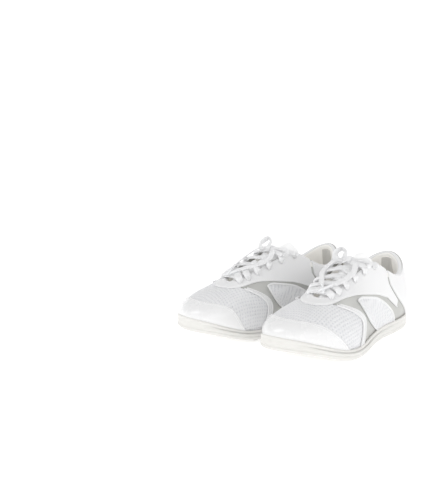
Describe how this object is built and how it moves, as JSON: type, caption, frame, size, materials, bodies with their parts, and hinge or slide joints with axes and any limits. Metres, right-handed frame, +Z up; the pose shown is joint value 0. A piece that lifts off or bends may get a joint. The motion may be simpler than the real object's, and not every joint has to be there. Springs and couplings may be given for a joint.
{
  "type": "cheer shoes",
  "caption": "Pair of low-cut lace-up cheer shoes with a rubber cup sole, mesh vamp, leather-like overlays, silver side panels, padded collar and tied flat laces.",
  "frame": {"origin": "centre of the pair's own footprint on the ground, laces left out", "axes": "+Z up, toes towards -Y, left shoe towards +X"},
  "size_m": [0.2152, 0.258, 0.1046],
  "materials": {
    "rubber": "matte",
    "white_upper": "satin synthetic leather",
    "mesh": "square air mesh",
    "silver": "metallic synthetic leather",
    "lining": "brushed textile",
    "tape": "woven tape",
    "foam": "soft foam",
    "stiffener": "moulded sheet",
    "board": "fibre board",
    "lace": "flat woven lace",
    "aglet": "clear film"
  },
  "bodies": {
    "left_shoe": {"left_outsole": "rubber", "left_tread_pads": "rubber", "left_midsole": "foam", "left_shank": "stiffener", "left_insole_board": "board", "left_sock_liner": "lining", "left_vamp": "mesh", "left_vamp_lining": "lining", "left_toe_cap": "white_upper", "left_toe_puff": "stiffener", "left_vamp_trims": "white_upper", "left_outer_quarter": "silver", "left_inner_quarter": "silver", "left_windows": "mesh", "left_eyestay": "white_upper", "left_saddles": "white_upper", "left_heel_overlay": "white_upper", "left_heel_counter": "stiffener", "left_collar_foam": "foam", "left_collar_lining": "lining", "left_heel_tape": "tape", "left_lace_crossings": "lace", "left_lace_knot": "lace", "left_bow_loops": "lace", "left_lace_tails": "lace", "left_aglets": "aglet"},
    "right_shoe": {"right_outsole": "rubber", "right_tread_pads": "rubber", "right_midsole": "foam", "right_shank": "stiffener", "right_insole_board": "board", "right_sock_liner": "lining", "right_vamp": "mesh", "right_vamp_lining": "lining", "right_toe_cap": "white_upper", "right_toe_puff": "stiffener", "right_vamp_trims": "white_upper", "right_outer_quarter": "silver", "right_inner_quarter": "silver", "right_windows": "mesh", "right_eyestay": "white_upper", "right_saddles": "white_upper", "right_heel_overlay": "white_upper", "right_heel_counter": "stiffener", "right_collar_foam": "foam", "right_collar_lining": "lining", "right_heel_tape": "tape", "right_lace_crossings": "lace", "right_lace_knot": "lace", "right_bow_loops": "lace", "right_lace_tails": "lace", "right_aglets": "aglet"},
    "left_tongue": {"left_tongue_cover": "white_upper", "left_tongue_foam": "foam", "left_tongue_lining": "lining"},
    "right_tongue": {"right_tongue_cover": "white_upper", "right_tongue_foam": "foam", "right_tongue_lining": "lining"}
  },
  "joints": [
    {"name": "right_shoe_lift", "type": "slide", "parent": "left_shoe", "child": "right_shoe", "axis": [0, 0, 1], "range_m": [0, 0.15]},
    {"name": "left_tongue_hinge", "type": "hinge", "parent": "left_shoe", "child": "left_tongue", "pos_m": [0.05977, -0.04391, 0.052], "axis": [0.9962, 0.0872, 0], "range_deg": [-12, 0], "stiffness_Nm_per_rad": 0.3},
    {"name": "right_tongue_hinge", "type": "hinge", "parent": "right_shoe", "child": "right_tongue", "pos_m": [-0.05932, -0.04862, 0.052], "axis": [0.9903, -0.1392, 0], "range_deg": [-12, 0], "stiffness_Nm_per_rad": 0.3}
  ]
}
